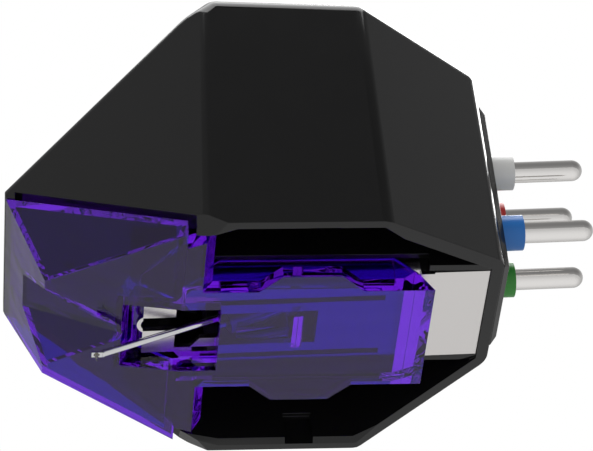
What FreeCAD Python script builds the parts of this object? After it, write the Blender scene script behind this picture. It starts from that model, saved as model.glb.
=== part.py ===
import FreeCAD, Part
import math
import os

from FreeCAD import Vector

os.makedirs("parts", exist_ok=True)

# Turntable stylus cartridge of the moving-magnet kind, in millimetres.
# Origin: centre of the top mounting face, midway between the two threaded holes.
# +X to the rear, where the four output pins stand out; +Z up; the record lies below.
# Most shapes are drawn level with the open rim; levelled() then tips them so that the
# mounting face, which leans a little to the rim, lies at height zero.

# Mounting face, as seen from the rim: its height above the zero line and its lean
TOP_Z = 0.97
TOP_TILT_DEG = 2.7

# Body, outside
HALF_WIDTH = 9.8
FLAT_FRONT_X = -3.1
SLOPE_TOP_X = -2.8
FLAT_REAR_X = 5.75
REAR_X = 12.85
REAR_HALF_WIDTH = 4.3
NOSE_X = -14.4
NOSE_HALF_WIDTH = 4.85
NOSE_Z = -9.1
RIM_Z = -16.15
REAR_RIM_Z = -14.3
FACET_DRAFT = 0.9
CORNER_RIM_X = -2.85
CORNER_INNER_Z = -15.77
EDGE_RADIUS = 1.05
SLOPE_EDGE_RADIUS = 0.5

# Parting line between the body and the stylus holder
CUT_FRONT_X = -13.86
CUT_FRONT_Z = -9.57
CUT_REAR_X = -4.47
CUT_REAR_Z = -15.33
LIP_CLEARANCE = 0.1

# Body, inside
RIM_WALL = 0.5
RIM_CHAMFER = 0.28
NOTCH_X = 2.36
NOTCH_WIDTH = 1.6
NOTCH_HEIGHT = 2.0
HOLLOW_FRONT_X = -7.6
HOLLOW_FRONT_HALF_WIDTH = 6.4
HOLLOW_CORNER_X = -4.6
HOLLOW_CORNER_HALF_WIDTH = 8.35
HOLLOW_SIDE_X = -2.3
HOLLOW_TOP_Z = -6.7
REAR_WALL = 0.7
BAY_SIDE_GAP = 0.25
BAY_WALL = 0.35
BAY_TOP_Z = -3.4
BAY_FRONT_GAP = 0.3
BAY_WALL_Z = -13.5
BAY_REAR_WALL_X = 8.7
BAY_FOOT_DEPTH = 0.48

# Mounting holes and their inserts
HOLE_SPACING = 12.7
THREAD_RADIUS = 1.25
INSERT_RADIUS = 1.9
INSERT_LENGTH = 5.6
INSERT_FLAT = 0.25
THREAD_CHAMFER = 0.25

# Terminal plate, pins and coloured sleeves
PLATE_HALF_WIDTH = 3.4
PLATE_TOP_Z = -1.7
PLATE_BOTTOM_Z = -13.9
PLATE_THICKNESS = 0.5
PLATE_CHAMFER = 0.35
PLUG_HALF_WIDTH = 2.9
PLUG_MARGIN = 1.3
PIN_RADIUS = 0.6
PIN_ROOT_RADIUS = 0.4
PIN_TILT_DEG = 2.0
PIN_HALF_PITCH_Y = 2.03
PIN_HALF_PITCH_Z = 2.29
PIN_MID_Z = -7.97
PIN_TIP_X = 18.68
PIN_TAIL_RADIUS = 0.35
PIN_TAIL_LENGTH = 1.6
SLEEVE_RADIUS = 1.0
SLEEVE_LENGTH = 1.25
PRESS_GAP = 0.01

# Shield plate below the generator
SHIELD_FRONT_X = -6.9
SHIELD_LOOP_X = -7.24
SHIELD_FLOOR_GAP = 0.12
SHIELD_REAR_Z = -14.35
SHIELD_THICKNESS = 0.3
SHIELD_NOSE_HALF_WIDTH = 2.4
SHIELD_SHOULDER_X = -4.4
SHIELD_TRAY_GAP = 0.2
SHIELD_BAY_GAP = 0.28
SHIELD_SIDE_FRONT_X = -3.6
SHIELD_SIDE_REAR_X = 8.3
SHIELD_SIDE_HEIGHT = 1.92
SHIELD_BEND_RADIUS = 1.0
SHIELD_FOOT_GAP = 0.04
SLOT_HALF_WIDTH = 0.55
SLOT_LOOP_WIDTH = 0.22
KEYHOLE_FRONT_X = -5.1
KEYHOLE_HALF_WIDTH = 2.05
KEYHOLE_TAPER_X = -4.2
KEYHOLE_NECK_X = -3.7
KEYHOLE_NECK_HALF_WIDTH = 1.33
KEYHOLE_REAR_X = 2.7
SIDE_SLOT_Y = 2.25
SIDE_SLOT_WIDTH = 0.43
SIDE_SLOT_FRONT_X = -4.1
SIDE_SLOT_REAR_X = 6.35

# Generator frame, poles and coils
FRAME_FRONT_X = -3.2
FRAME_FRONT_HEIGHT = 5.6
FRAME_WALL = 0.4
FRAME_FLOOR = 0.6
FRAME_TOP_GAP = 0.1
FRAME_REAR_GAP = 0.03
POLE_SIZE = 0.6
POLE_CLEARANCE = 0.22
POLE_POCKET_GAP = 0.05
COIL_FRONT_X = 4.0
COIL_LENGTH = 5.0
COIL_HALF_PITCH_Y = 1.55
COIL_SIDE_GAP = 0.1
COIL_TOP_Z = -6.0
COIL_LOW_Z = -9.6
BOBBIN_HALF_WIDTH = 1.45
BOBBIN_WALL = 0.28
BOBBIN_FLANGE = 0.3
WINDING_HALF_WIDTH = 1.36
WINDING_CORNER = 0.75
YOKE_THICKNESS = 0.6
YOKE_MARGIN = 0.9

# Cantilever line: its slope, and the pivot that the suspension turns about
SLOPE_DEG = 20.5
PIVOT_X = -1.3
PIVOT_Z = -13.94
CANTILEVER_LENGTH = 8.5
CANTILEVER_RADIUS = 0.19
CANTILEVER_WALL = 0.06
CANTILEVER_TAIL = 0.35
PADDLE_LENGTH = 0.7
PADDLE_AHEAD = 0.55
PADDLE_WIDTH = 0.4
PADDLE_THICKNESS = 0.15
STYLUS_LENGTH = 0.42
STYLUS_SHANK_LENGTH = 0.12
STYLUS_RADIUS = 0.1
STYLUS_TIP_RADIUS = 0.02

# Carrier tube and what it holds
TUBE_RADIUS = 0.65
TUBE_WALL = 0.1
TUBE_FRONT = 1.0
TUBE_REAR = 4.0
DAMPER_LENGTH = 0.5
DAMPER_GAP = 0.05
MAGNET_RADIUS = 0.38
MAGNET_LENGTH = 1.2
ANCHOR_LENGTH = 0.6
TIE_WIRE_RADIUS = 0.05

# Stylus holder
HOLDER_TOP_X = -14.37
HOLDER_TOP_Z = -9.84
HOLDER_TOP_HALF_WIDTH = 4.85
HOLDER_LOW_X = -12.37
HOLDER_LOW_Z = -15.0
HOLDER_LOW_HALF_WIDTH = 3.94
NOSE_WALL = 0.45
WING_REAR_X = -4.9
WING_TOP_REAR_Z = -15.35
WING_INSET = 0.68
HOLDER_BASE_Z = -16.1
BASE_BREAK_X = -4.9
SHELF_REAR_X = -3.9
SHELF_HALF_WIDTH = 8.1
SHELF_THICKNESS = 0.95
SHELF_SLANT = 0.6
SHELF_FRONT_X = -7.2
SHELF_FRONT_HALF_WIDTH = 4.9
SHELF_CORNER_HALF_WIDTH = 7.7
TRAY_WALL = 0.38
TRAY_REAR_X = 8.83
TRAY_FLOOR = 1.08
TRAY_TOP_Z = -13.65
TRAY_RAMP_X = 6.7
TRAY_RAMP_STEP = 1.28
TRAY_RAMP_STEP_DROP = 1.13
RIDGE_FRONT_DEG = 33.0
RIDGE_GAP = 0.1
RIDGE_ROOT = 0.2
RIDGE_X = 1.6
RIDGE_HEIGHT = 0.28
FLANGE_HEIGHT = 0.55
FLANGE_INSET = 0.12
LUG_REACH = 1.25
LUG_FRONT_X = -0.84
LUG_REAR_X = 4.9
LUG_TAPER = 1.25
LUG_HEIGHT = 0.75
WINDOW_FRONT_X = -8.4
WINDOW_REAR_X = -2.8
WINDOW_HALF_WIDTH = 2.6
WINDOW_FRONT_SLANT = 1.0
CHANNEL_ROOF_X = -13.54
CHANNEL_ROOF_Z = -12.2
CHANNEL_ROOF_HALF_WIDTH = 1.36
CHANNEL_MOUTH_X = -12.3
CHANNEL_MOUTH_HALF_WIDTH = 3.2
CHANNEL_END_ROOF_Z = -15.24
CHANNEL_END_HALF_WIDTH = 0.12
KEEL_HALF_WIDTH = 0.45
KEEL_FRONT = 0.5
KEEL_REAR = 1.45

# For cutting tools: how far they reach past the faces they cut, and past the whole cartridge
MARGIN = 1.0
FAR = 60.0

slope = math.radians(SLOPE_DEG)
top_tilt = math.radians(TOP_TILT_DEG)
wing_half_width = HALF_WIDTH - WING_INSET
plate_x = REAR_X + PLATE_THICKNESS
sleeve_x = plate_x + SLEEVE_LENGTH
hollow_rear_x = REAR_X - REAR_WALL
frame_half_width = COIL_HALF_PITCH_Y + BOBBIN_HALF_WIDTH + COIL_SIDE_GAP + FRAME_WALL
bay_half_width = frame_half_width + BAY_SIDE_GAP
shield_half_width = bay_half_width - SHIELD_BAY_GAP
tray_half_width = shield_half_width + SHIELD_TRAY_GAP + TRAY_WALL
bay_outer = bay_half_width + BAY_WALL
bay_foot_half_width = bay_outer - BAY_FOOT_DEPTH
shield_rear_half_width = bay_foot_half_width - SHIELD_FOOT_GAP
shield_rear_x = hollow_rear_x - FRAME_REAR_GAP
tray_floor_z = HOLDER_BASE_Z + TRAY_FLOOR
shield_front_z = tray_floor_z + SHIELD_FLOOR_GAP
shield_side_top_z = tray_floor_z + SHIELD_SIDE_HEIGHT
shield_slope = (SHIELD_REAR_Z - shield_front_z) / (shield_rear_x - SHIELD_FRONT_X)
coil_rear_x = COIL_FRONT_X + COIL_LENGTH
yoke_x = coil_rear_x + BOBBIN_FLANGE
bay_front_x = FRAME_FRONT_X - BAY_FRONT_GAP
tube_bore = TUBE_RADIUS - TUBE_WALL


def box(x0, x1, y0, y1, z0, z1):
    return Part.makeBox(x1 - x0, y1 - y0, z1 - z0, Vector(x0, y0, z0))


def side_box(side, x0, x1, y0, y1, z0, z1):
    """Box between two distances y0 and y1 from the middle plane, on the side given by the sign."""
    near, far = sorted((side * y0, side * y1))
    return box(x0, x1, near, far, z0, z1)


def closed(points):
    return Part.makePolygon(points + points[:1])


def face_of(points):
    return Part.Face(closed(points))


def plan_prism(outline, z0, z1):
    """Extrude an outline given as (x, y) from z0 up to z1."""
    return face_of([Vector(x, y, z0) for x, y in outline]).extrude(Vector(0, 0, z1 - z0))


def side_prism(outline, half_width):
    """Extrude an outline given as (x, z) to both sides of the middle plane."""
    points = [Vector(x, -half_width, z) for x, z in outline]
    return face_of(points).extrude(Vector(0, 2 * half_width, 0))


def both_sides(half_outline):
    """Complete a plan outline given for +Y by its mirror image."""
    return half_outline + [(x, -y) for x, y in reversed(half_outline)]


def cut_beyond(shape, point, outward):
    """Remove what lies beyond the plane through point, on the side that outward points to."""
    tool = Part.makeBox(FAR, FAR, FAR, Vector(-FAR / 2, -FAR / 2, 0))
    tool.Placement = FreeCAD.Placement(point, FreeCAD.Rotation(Vector(0, 0, 1), outward))
    return shape.cut(tool)


def outward_normal(a, b, c, inside):
    """Normal of the plane through three points, away from the point called inside."""
    normal = (b - a).cross(c - a)
    normal.normalize()
    return normal * (-1 if normal.dot(inside - a) > 0 else 1)


def cut_three(shape, a, b, c, inside, inset=0.0):
    """Cut with the plane through three points, moved inwards by the inset."""
    outward = outward_normal(a, b, c, inside)
    return cut_beyond(shape, a - outward * inset, outward)


def mirrored(point):
    return Vector(point.x, -point.y, point.z)


def cut_both_sides(shape, a, b, c, inside, inset=0.0):
    """Cut with a plane through three points and with its mirror image in the middle plane."""
    shape = cut_three(shape, a, b, c, inside, inset)
    return cut_three(shape, mirrored(a), mirrored(b), mirrored(c), mirrored(inside), inset)


def rod_x(radius, x0, x1, y=0.0, z=0.0):
    return Part.makeCylinder(radius, x1 - x0, Vector(x0, y, z), Vector(1, 0, 0))


def ring_x(outer, inner, x0, x1, y=0.0, z=0.0):
    return rod_x(outer, x0, x1, y, z).cut(rod_x(inner, x0, x1, y, z))


def on_slope(shape):
    """Carry a shape built along +X about the origin onto the cantilever's sloping line."""
    shape = shape.copy()
    shape.rotate(Vector(0, 0, 0), Vector(0, 1, 0), -SLOPE_DEG)
    shape.translate(Vector(PIVOT_X, 0, PIVOT_Z))
    return shape


def slope_point(along, up=0.0):
    """Point on the cantilever's line, a distance behind the pivot and above the line."""
    x = PIVOT_X + along * math.cos(slope) - up * math.sin(slope)
    z = PIVOT_Z + along * math.sin(slope) + up * math.cos(slope)
    return x, z


def shield_z(x):
    """Height of the shield plate's underside at x."""
    return shield_front_z + shield_slope * (x - SHIELD_FRONT_X)


def front_facet_y(x, z):
    """Half width of the body at a point of its front side facet."""
    nose = Vector(NOSE_X, NOSE_HALF_WIDTH, NOSE_Z)
    top = Vector(FLAT_FRONT_X, HALF_WIDTH, top_z(FLAT_FRONT_X))
    low = Vector(FLAT_FRONT_X - FACET_DRAFT, HALF_WIDTH, RIM_Z)
    normal = (top - nose).cross(low - nose)
    return NOSE_HALF_WIDTH - (normal.x * (x - NOSE_X) + normal.z * (z - NOSE_Z)) / normal.y


def rear_facet_y(x, inset=0.0):
    """Half width at x of the rear side facet, moved inwards by a wall thickness."""
    run = REAR_X - FLAT_REAR_X
    drop = HALF_WIDTH - REAR_HALF_WIDTH
    return HALF_WIDTH - (x - FLAT_REAR_X) * drop / run - inset * math.hypot(run, drop) / run


def rear_facet_x(half_width, inset=0.0):
    run = REAR_X - FLAT_REAR_X
    drop = HALF_WIDTH - REAR_HALF_WIDTH
    return FLAT_REAR_X + (rear_facet_y(FLAT_REAR_X, inset) - half_width) * run / drop


def top_z(x):
    """Height of the mounting face at x, before levelling."""
    return TOP_Z - x * math.tan(top_tilt)


def levelled(shape):
    """Tip a shape drawn level with the rim so that the mounting face lies at height zero."""
    shape = shape.copy()
    shape.translate(Vector(0, 0, -TOP_Z))
    shape.rotate(Vector(0, 0, 0), Vector(0, 1, 0), -TOP_TILT_DEG)
    return shape


def body_outside():
    """The faceted block: a flat top, a sloping nose, and three facets down each side."""
    middle = Vector(0, 0, RIM_Z / 2)
    block = box(NOSE_X, REAR_X, -HALF_WIDTH, HALF_WIDTH, RIM_Z, top_z(NOSE_X) + MARGIN)
    nose = Vector(NOSE_X, NOSE_HALF_WIDTH, NOSE_Z)
    top = Vector(FLAT_FRONT_X, HALF_WIDTH, top_z(FLAT_FRONT_X))
    low = Vector(FLAT_FRONT_X - FACET_DRAFT, HALF_WIDTH, RIM_Z)
    rear_top = Vector(FLAT_REAR_X, HALF_WIDTH, top_z(FLAT_REAR_X))
    rear_low = Vector(FLAT_REAR_X, HALF_WIDTH, RIM_Z)
    block = cut_three(block, top, mirrored(top), rear_top, middle)
    brow = Vector(SLOPE_TOP_X, HALF_WIDTH, top_z(SLOPE_TOP_X))
    block = cut_three(block, nose, brow, mirrored(brow), middle)
    block = cut_both_sides(block, nose, top, low, middle)
    rear = Vector(REAR_X, REAR_HALF_WIDTH, 0)
    block = cut_both_sides(block, rear_top, rear_low, rear, middle)
    below = Vector(REAR_X, 0, REAR_RIM_Z)
    return cut_three(block, rear_low, mirrored(rear_low), below, middle)


def slope_sides(block):
    """The two edges where the slope under the mounting face meets the front side facets."""
    run = FLAT_FRONT_X - NOSE_X
    above = [edge for edge in block.Edges if edge.CenterOfMass.z > NOSE_Z]
    ahead = [edge for edge in above if edge.CenterOfMass.x < FLAT_FRONT_X]
    return [edge for edge in ahead if edge.BoundBox.XLength > run / 2]


def rounded(block):
    """Round the outer edges above the rim: widely, but only a little beside the slope."""
    above_rim = [edge for edge in block.Edges if edge.CenterOfMass.z > REAR_RIM_Z]
    behind_nose = [edge for edge in above_rim if edge.CenterOfMass.x > NOSE_X + EDGE_RADIUS]
    sides = slope_sides(block)
    wide = [edge for edge in behind_nose if not any(edge.isSame(side) for side in sides)]
    block = block.makeFillet(EDGE_RADIUS, wide)
    return block.makeFillet(SLOPE_EDGE_RADIUS, slope_sides(block))


def front_cut():
    """What the stylus holder's wedge takes from under the nose, with the lip at the tip."""
    lip_z = HOLDER_TOP_Z + LIP_CLEARANCE
    wedge_slope = (WING_TOP_REAR_Z - HOLDER_TOP_Z) / (WING_REAR_X - HOLDER_TOP_X)
    lip_rear_z = lip_z + wedge_slope * (CUT_FRONT_X - NOSE_X)
    outline = [
        (NOSE_X - MARGIN, lip_z - wedge_slope * MARGIN),
        (NOSE_X, lip_z),
        (CUT_FRONT_X, lip_rear_z),
        (CUT_FRONT_X, CUT_FRONT_Z),
        (CUT_REAR_X, CUT_REAR_Z),
        (CUT_REAR_X, RIM_Z - MARGIN),
        (NOSE_X - MARGIN, RIM_Z - MARGIN),
    ]
    return side_prism(outline, HALF_WIDTH + MARGIN)


def cut_corners(shell):
    """A facet at the front end of each side's rim, from the rear end of the parting line."""
    edge = Vector(CUT_REAR_X, front_facet_y(CUT_REAR_X, CUT_REAR_Z), CUT_REAR_Z)
    rim = Vector(CORNER_RIM_X, HALF_WIDTH, RIM_Z)
    inner = Vector(CUT_REAR_X, HOLLOW_CORNER_HALF_WIDTH, CORNER_INNER_Z)
    below = Vector(CUT_REAR_X, HALF_WIDTH, RIM_Z)
    for side in (-1, 1):
        y0, y1 = bay_half_width, HALF_WIDTH + MARGIN
        corner = side_box(side, CUT_REAR_X, CORNER_RIM_X, y0, y1, RIM_Z - MARGIN, CUT_REAR_Z + MARGIN)
        points = [point if side > 0 else mirrored(point) for point in (edge, rim, inner, below)]
        shell = shell.cut(cut_three(corner, *points))
    return shell


def hollow_outline(wall):
    """Plan of the space inside the side walls, for a given wall."""
    half = HALF_WIDTH - wall
    return both_sides([
        (HOLLOW_FRONT_X, HOLLOW_FRONT_HALF_WIDTH),
        (HOLLOW_CORNER_X, HOLLOW_CORNER_HALF_WIDTH),
        (HOLLOW_SIDE_X, half),
        (rear_facet_x(half, wall), half),
        (hollow_rear_x, rear_facet_y(hollow_rear_x, wall)),
    ])


def body_shell():
    shell = cut_corners(rounded(body_outside()).cut(front_cut()))
    wall = RIM_WALL + RIM_CHAMFER
    hollow = plan_prism(hollow_outline(wall), RIM_Z - MARGIN, HOLLOW_TOP_Z)
    mouth = Part.makeLoft([
        closed([Vector(x, y, RIM_Z) for x, y in hollow_outline(RIM_WALL)]),
        closed([Vector(x, y, RIM_Z + RIM_CHAMFER) for x, y in hollow_outline(wall)]),
    ], True, True)
    bay = box(bay_front_x, hollow_rear_x, -bay_half_width, bay_half_width, RIM_Z - MARGIN, BAY_TOP_Z)
    shell = shell.cut(hollow).cut(mouth).cut(bay)
    wall_rear_x = REAR_X - REAR_WALL / 2
    notch_x0, notch_x1 = NOTCH_X - NOTCH_WIDTH / 2, NOTCH_X + NOTCH_WIDTH / 2
    low, high = RIM_Z - MARGIN, RIM_Z + NOTCH_HEIGHT
    for side in (-1, 1):
        web = side_box(side, bay_front_x, wall_rear_x, bay_half_width, bay_outer, BAY_WALL_Z, BAY_TOP_Z)
        foot = side_box(
            side, BAY_REAR_WALL_X, wall_rear_x, bay_foot_half_width, bay_outer, SHIELD_REAR_Z, BAY_WALL_Z
        )
        y0, y1 = HALF_WIDTH - wall - MARGIN, HALF_WIDTH - RIM_WALL
        notch = side_box(side, notch_x0, notch_x1, y0, y1, low, high)
        shell = shell.fuse(web).fuse(foot).cut(notch)
    shell = levelled(shell.cut(terminal_plug(0.0)))
    for side in (-1, 1):
        shell = shell.cut(insert_shape(side).fuse(thread_bore(side)))
    return shell.removeSplitter()


def thread_bore(side):
    return Part.makeCylinder(THREAD_RADIUS, INSERT_LENGTH, Vector(0, side * HOLE_SPACING / 2, -INSERT_LENGTH))


def insert_shape(side):
    """Round insert with a flat on each side, which keep it from turning in the moulding."""
    y = side * HOLE_SPACING / 2
    across = INSERT_RADIUS - INSERT_FLAT
    insert = Part.makeCylinder(INSERT_RADIUS, INSERT_LENGTH, Vector(0, y, -INSERT_LENGTH))
    return insert.common(box(-across, across, y - INSERT_RADIUS, y + INSERT_RADIUS, -INSERT_LENGTH, 0))


def threaded_insert(side):
    insert = insert_shape(side).cut(thread_bore(side))
    y = side * HOLE_SPACING / 2
    mouth = Part.makeCone(
        THREAD_RADIUS, THREAD_RADIUS + THREAD_CHAMFER, THREAD_CHAMFER, Vector(0, y, -THREAD_CHAMFER)
    )
    return insert.cut(mouth)


def pin_places():
    """Left is +Y and right is -Y, seen along +X; live pins are above and ground pins below."""
    top = PIN_MID_Z + PIN_HALF_PITCH_Z
    low = PIN_MID_Z - PIN_HALF_PITCH_Z
    return {
        "white": (-PIN_HALF_PITCH_Y, top),
        "red": (PIN_HALF_PITCH_Y, top),
        "blue": (-PIN_HALF_PITCH_Y, low),
        "green": (PIN_HALF_PITCH_Y, low),
    }


def tipped(shape, y, z):
    """Pins and sleeves lean up a little towards their free ends."""
    shape.rotate(Vector(plate_x, y, z), Vector(0, 1, 0), -PIN_TILT_DEG)
    return shape


def terminal_plug(gap):
    """The part of the terminal plate that fills the opening in the body's rear wall."""
    half = PLUG_HALF_WIDTH - gap
    low, high = PLATE_BOTTOM_Z + PLUG_MARGIN + gap, PLATE_TOP_Z - PLUG_MARGIN - gap
    return box(hollow_rear_x, REAR_X, -half, half, low, high)


def terminal_plate():
    flange = box(REAR_X, plate_x, -PLATE_HALF_WIDTH, PLATE_HALF_WIDTH, PLATE_BOTTOM_Z, PLATE_TOP_Z)
    rim = [edge for edge in flange.Edges if abs(edge.CenterOfMass.x - plate_x) < PRESS_GAP]
    plate = flange.makeChamfer(PLATE_CHAMFER, rim).fuse(terminal_plug(PRESS_GAP))
    x0, x1 = hollow_rear_x - MARGIN, plate_x + MARGIN
    for y, z in pin_places().values():
        plate = plate.cut(tipped(rod_x(PIN_ROOT_RADIUS + PRESS_GAP, x0, x1, y, z), y, z))
    return plate.removeSplitter()


def output_pin(y, z):
    """Turned pin with a domed end, a thinner root in the plate and a solder tail inside."""
    dome_x = PIN_TIP_X - PIN_RADIUS
    root = rod_x(PIN_ROOT_RADIUS, hollow_rear_x, sleeve_x, y, z)
    shank = rod_x(PIN_RADIUS, sleeve_x, dome_x, y, z).fuse(root)
    dome = Part.makeSphere(PIN_RADIUS, Vector(dome_x, y, z))
    tail = rod_x(PIN_TAIL_RADIUS, hollow_rear_x - PIN_TAIL_LENGTH, hollow_rear_x, y, z)
    return tipped(shank.fuse(dome).fuse(tail).removeSplitter(), y, z)


def colour_sleeve(y, z):
    sleeve = tipped(ring_x(SLEEVE_RADIUS, PIN_ROOT_RADIUS + PRESS_GAP, hollow_rear_x, sleeve_x, y, z), y, z)
    return sleeve.cut(box(0, plate_x, -HALF_WIDTH, HALF_WIDTH, RIM_Z, TOP_Z))


def shield_trough(x0, x1, top, inset=0.0, gap=0.0):
    """Solid that fills the shield up to a height between its bent-up sides.

    The inset is the sheet's thickness for the inside, and the gap is left free at the sides.
    """
    half = shield_half_width - inset - gap
    outline = [(x0, shield_z(x0) + inset), (x1, shield_z(x1) + inset), (x1, top), (x0, top)]
    block = side_prism(outline, half)
    below = [edge for edge in block.Edges if edge.BoundBox.ZMax < top - inset]
    along = [edge for edge in below if edge.BoundBox.XLength > MARGIN]
    return block.makeFillet(SHIELD_BEND_RADIUS - inset, along)


def shield_plate():
    """Pressed metal sheet under the generator, with the keyhole that the suspension enters by."""
    nose_outer = SLOT_HALF_WIDTH + SLOT_LOOP_WIDTH
    outline = both_sides([
        (SHIELD_FRONT_X, SHIELD_NOSE_HALF_WIDTH),
        (KEYHOLE_FRONT_X, SHIELD_NOSE_HALF_WIDTH),
        (SHIELD_SHOULDER_X, shield_half_width),
        (TRAY_REAR_X + SLOT_LOOP_WIDTH, shield_half_width),
        (TRAY_REAR_X + SLOT_LOOP_WIDTH, shield_rear_half_width),
        (shield_rear_x, shield_rear_half_width),
    ])
    keyhole = both_sides([
        (SHIELD_FRONT_X, SLOT_HALF_WIDTH),
        (KEYHOLE_FRONT_X, SLOT_HALF_WIDTH),
        (KEYHOLE_FRONT_X, KEYHOLE_HALF_WIDTH),
        (KEYHOLE_TAPER_X, KEYHOLE_HALF_WIDTH),
        (KEYHOLE_NECK_X, KEYHOLE_NECK_HALF_WIDTH),
        (KEYHOLE_REAR_X, KEYHOLE_NECK_HALF_WIDTH),
    ])
    low, high = -FAR / 2, FAR / 2
    centre = Vector(SHIELD_LOOP_X + nose_outer, 0, low)
    sheet = plan_prism(outline, low, high).fuse(Part.makeCylinder(nose_outer, FAR, centre))
    sheet = sheet.cut(Part.makeCylinder(SLOT_HALF_WIDTH, FAR, centre)).cut(plan_prism(keyhole, low, high))
    for side in (-1, 1):
        y = side * SIDE_SLOT_Y
        half = SIDE_SLOT_WIDTH / 2
        sheet = sheet.cut(box(SIDE_SLOT_FRONT_X, SIDE_SLOT_REAR_X, y - half, y + half, low, high))
    x0, x1 = SHIELD_LOOP_X - nose_outer, shield_rear_x
    slab = side_prism([
        (x0, shield_z(x0)),
        (x1, shield_z(x1)),
        (x1, shield_z(x1) + SHIELD_THICKNESS),
        (x0, shield_z(x0) + SHIELD_THICKNESS),
    ], HALF_WIDTH)
    sheet = sheet.common(slab)
    x0, x1 = SHIELD_SIDE_FRONT_X, SHIELD_SIDE_REAR_X
    bent = shield_trough(x0, x1, shield_side_top_z).cut(
        shield_trough(x0 - MARGIN, x1 + MARGIN, shield_side_top_z + MARGIN, SHIELD_THICKNESS)
    )
    flat_half_width = shield_half_width - SHIELD_BEND_RADIUS
    for side in (-1, 1):
        sheet = sheet.cut(side_box(side, x0, x1, flat_half_width, HALF_WIDTH, RIM_Z, shield_side_top_z))
    bent = bent.cut(box(x0, x1, -flat_half_width, flat_half_width, RIM_Z, shield_side_top_z))
    return sheet.fuse(bent).removeSplitter()


def generator_frame():
    """Moulded tray that stands on the shield plate and holds the poles and coils."""
    top = BAY_TOP_Z - FRAME_TOP_GAP
    x1 = shield_rear_x
    front_top = shield_z(FRAME_FRONT_X) + SHIELD_THICKNESS

    def lifted(x, height):
        return (x, shield_z(x) + SHIELD_THICKNESS + height)

    step_x = COIL_FRONT_X - FRAME_WALL - BOBBIN_FLANGE
    outer = side_prism([
        lifted(FRAME_FRONT_X, 0), lifted(x1, 0), (x1, top), (step_x - FRAME_WALL, top),
        (FRAME_FRONT_X, front_top + FRAME_FRONT_HEIGHT),
    ], frame_half_width)
    inner = side_prism([
        lifted(FRAME_FRONT_X + FRAME_WALL, FRAME_FLOOR), lifted(x1 - FRAME_WALL, FRAME_FLOOR),
        (x1 - FRAME_WALL, top + MARGIN), (step_x, top + MARGIN),
        (FRAME_FRONT_X + FRAME_WALL, front_top + FRAME_FRONT_HEIGHT - FRAME_WALL),
    ], frame_half_width - FRAME_WALL)
    foot_z = shield_side_top_z + PRESS_GAP
    foot = shield_trough(FRAME_FRONT_X - MARGIN, x1 + MARGIN, foot_z, SHIELD_THICKNESS, PRESS_GAP)
    upper = box(FRAME_FRONT_X, x1, -frame_half_width, frame_half_width, foot_z, top)
    low_half = shield_half_width - SHIELD_THICKNESS - PRESS_GAP - FRAME_WALL
    for side in (-1, 1):
        narrow = side_box(side, FRAME_FRONT_X, x1, low_half, frame_half_width, RIM_Z, foot_z + FRAME_WALL)
        inner = inner.cut(narrow)
    frame = outer.common(foot.fuse(upper)).cut(inner)
    neck = KEYHOLE_NECK_HALF_WIDTH
    tube_top_z = PIVOT_Z + 2 * TUBE_REAR * math.sin(slope)
    frame = frame.cut(box(FRAME_FRONT_X - MARGIN, KEYHOLE_REAR_X, -neck, neck, RIM_Z, tube_top_z))
    for pocket in pole_pieces(POLE_SIZE + 2 * POLE_POCKET_GAP).values():
        frame = frame.cut(pocket)
    tail_radius = PIN_TAIL_RADIUS + PRESS_GAP
    for y, z in pin_places().values():
        frame = frame.cut(tipped(rod_x(tail_radius, x1 - 2 * FRAME_WALL, x1 + MARGIN, y, z), y, z))
    return frame.removeSplitter()


def square_rod(start, end, size):
    """Rod from start to end whose section across X stays square, also where the rod slants."""
    half = size / 2
    corners = [(-half, -half), (half, -half), (half, half), (-half, half)]
    return face_of([start + Vector(0, y, z) for y, z in corners]).extrude(end - start)


def bent_pole(tip, bend_x, coil_y, coil_z, size):
    """Soft-iron rod: level at the magnet, rising to its coil, then level to the yoke."""
    bend = Vector(bend_x, tip.y, tip.z)
    entry = Vector(COIL_FRONT_X - FRAME_WALL, coil_y, coil_z)
    end = Vector(yoke_x, coil_y, coil_z)
    pole = square_rod(tip, bend, size).fuse(square_rod(bend, entry, size)).fuse(square_rod(entry, end, size))
    return pole.removeSplitter()


def pole_pieces(size):
    """Four poles: two above the magnet and two beside it, left and right."""
    half = POLE_SIZE / 2
    magnet_x, magnet_z = slope_point(CANTILEVER_TAIL + MAGNET_LENGTH / 2)
    over = magnet_z + (TUBE_RADIUS + POLE_CLEARANCE) / math.cos(slope) + half * math.tan(slope) + half
    beside = TUBE_RADIUS + POLE_CLEARANCE + half
    poles = {}
    for side, name in ((1, "left"), (-1, "right")):
        above = Vector(magnet_x - half, side * (half + POLE_CLEARANCE), over)
        level = Vector(magnet_x - half, side * beside, magnet_z)
        coil_y = side * COIL_HALF_PITCH_Y
        poles["upper_pole_" + name] = bent_pole(above, magnet_x + half, coil_y, COIL_TOP_Z, size)
        poles["lower_pole_" + name] = bent_pole(level, magnet_x + half, coil_y, COIL_LOW_Z, size)
    return poles


def coil_places():
    places = {}
    for level, z in (("upper", COIL_TOP_Z), ("lower", COIL_LOW_Z)):
        for side, name in ((1, "left"), (-1, "right")):
            places[level + "_" + name] = (side * COIL_HALF_PITCH_Y, z)
    return places


def square_bar(half, x0, x1, y, z):
    return box(x0, x1, y - half, y + half, z - half, z + half)


def bobbin_core_half():
    return POLE_SIZE / 2 + POLE_POCKET_GAP + BOBBIN_WALL


def coil_bobbin(y, z):
    """Moulded square spool with a flange at each end."""
    x0, x1 = COIL_FRONT_X, coil_rear_x
    bobbin = square_bar(bobbin_core_half(), x0, x1, y, z)
    bobbin = bobbin.fuse(square_bar(BOBBIN_HALF_WIDTH, x0, x0 + BOBBIN_FLANGE, y, z))
    bobbin = bobbin.fuse(square_bar(BOBBIN_HALF_WIDTH, x1 - BOBBIN_FLANGE, x1, y, z))
    return bobbin.cut(square_bar(POLE_SIZE / 2 + POLE_POCKET_GAP, x0, x1, y, z)).removeSplitter()


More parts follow.
